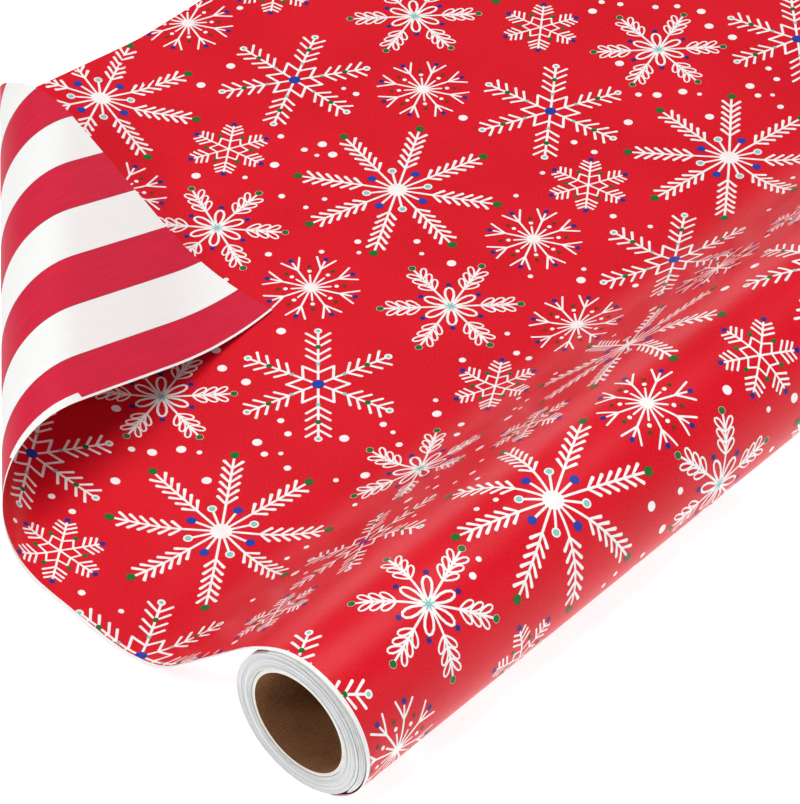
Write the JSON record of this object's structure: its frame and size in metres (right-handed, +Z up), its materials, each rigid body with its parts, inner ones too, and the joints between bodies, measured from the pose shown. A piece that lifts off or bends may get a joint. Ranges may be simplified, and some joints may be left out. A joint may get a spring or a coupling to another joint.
{
  "type": "wrapping paper roll",
  "caption": "Roll of reversible gift wrap on a card core, one length drawn off over the floor with a corner curled back.",
  "frame": {"origin": "on the floor under the middle of the whole object: the roll and the length of paper drawn off it", "axes": "+X along the roll's axis from the near end to the far end, +Y the way the paper is drawn off, +Z up"},
  "size_m": [0.762, 0.3724, 0.059],
  "materials": {
    "kraft_core": "matt brown kraft board, spiral wound",
    "clear_tape": "double-sided tape, cloudy",
    "printed_paper": "satin coated paper, printed on both sides"
  },
  "bodies": {
    "sheet": {"loose_turn_1": "printed_paper", "loose_turn_2": "printed_paper", "loose_turn_3": "printed_paper", "loose_turn_4": "printed_paper", "sheet_brow": "printed_paper", "sheet_fall": "printed_paper", "sheet_landing_near": "printed_paper", "sheet_landing_upper": "printed_paper", "sheet_landing_lower": "printed_paper", "sheet_flat": "printed_paper", "corner_bend": "printed_paper", "corner_crease": "printed_paper"},
    "roll": {"core_inner_ply": "kraft_core", "core_middle_ply": "kraft_core", "core_outer_ply": "kraft_core", "start_tape": "clear_tape", "wound_paper": "printed_paper"},
    "corner": {"turned_corner": "printed_paper"}
  },
  "joints": [
    {"name": "roll_spin", "type": "hinge", "parent": "sheet", "child": "roll", "pos_m": [0, -0.15438, 0.02784], "axis": [1, 0, 0], "continuous": true},
    {"name": "corner_lift", "type": "hinge", "parent": "sheet", "child": "corner", "pos_m": [-0.41736, -0.07479, 0.02571], "axis": [-0.6871, -0.7266, 0], "range_deg": [0, 45], "deforming": ["corner_crease"]}
  ]
}
